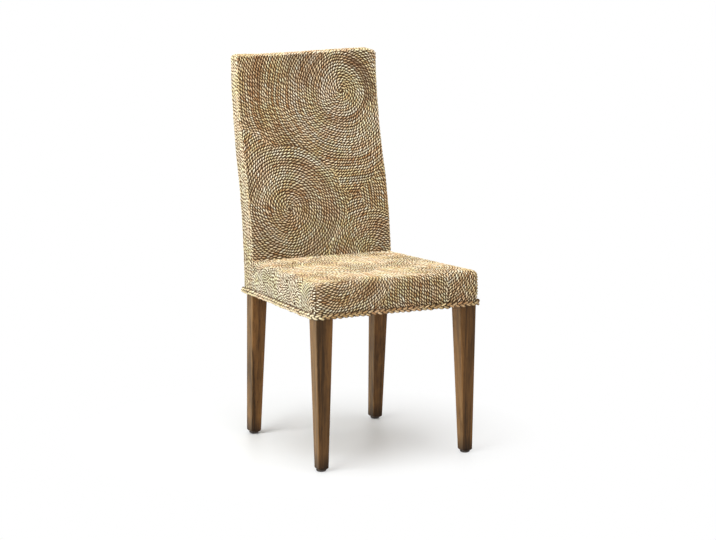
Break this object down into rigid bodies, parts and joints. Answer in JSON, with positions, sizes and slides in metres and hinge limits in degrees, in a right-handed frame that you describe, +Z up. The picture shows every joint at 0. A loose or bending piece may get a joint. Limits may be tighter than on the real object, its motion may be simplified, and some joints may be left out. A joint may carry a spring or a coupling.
{
  "type": "dining chair",
  "caption": "High-backed dining chair with tapered wooden legs, its seat and curved back dressed in coiled rope with a braided hem.",
  "frame": {"origin": "on the floor, under the middle of the whole chair's box", "axes": "+Z up, the chair faces -Y, +X to its left hand as seen by someone sitting in it, which is the right of the picture"},
  "size_m": [0.4884, 0.5567, 1.02],
  "materials": {
    "stained_wood": "satin stained hardwood with open grain",
    "frame_wood": "bare sawn hardwood",
    "plywood": "bare plywood",
    "rope": "matt twisted plant-fibre rope",
    "braid": "matt braided plant fibre",
    "glide": "matt dark plastic",
    "steel": "zinc plated"
  },
  "bodies": {
    "root": {"back_cover": "rope", "back_tenons": "frame_wood", "back_low_rail": "frame_wood", "back_middle_rail": "frame_wood", "back_top_rail": "frame_wood", "corner_block_front_left": "frame_wood", "corner_block_front_right": "frame_wood", "corner_block_rear_left": "frame_wood", "corner_block_rear_right": "frame_wood", "front_leg_left": "stained_wood", "front_leg_right": "stained_wood", "front_lining": "plywood", "front_rail": "frame_wood", "glide_front_left": "glide", "glide_front_right": "glide", "glide_rear_left": "glide", "glide_rear_right": "glide", "hem_braid": "braid", "left_rail": "frame_wood", "rear_leg_left": "stained_wood", "rear_leg_right": "stained_wood", "rear_lining": "plywood", "rear_rail": "frame_wood", "right_rail": "frame_wood", "seat_cover": "rope", "seat_panel": "plywood", "seat_screws": "steel"}
  },
  "joints": []
}
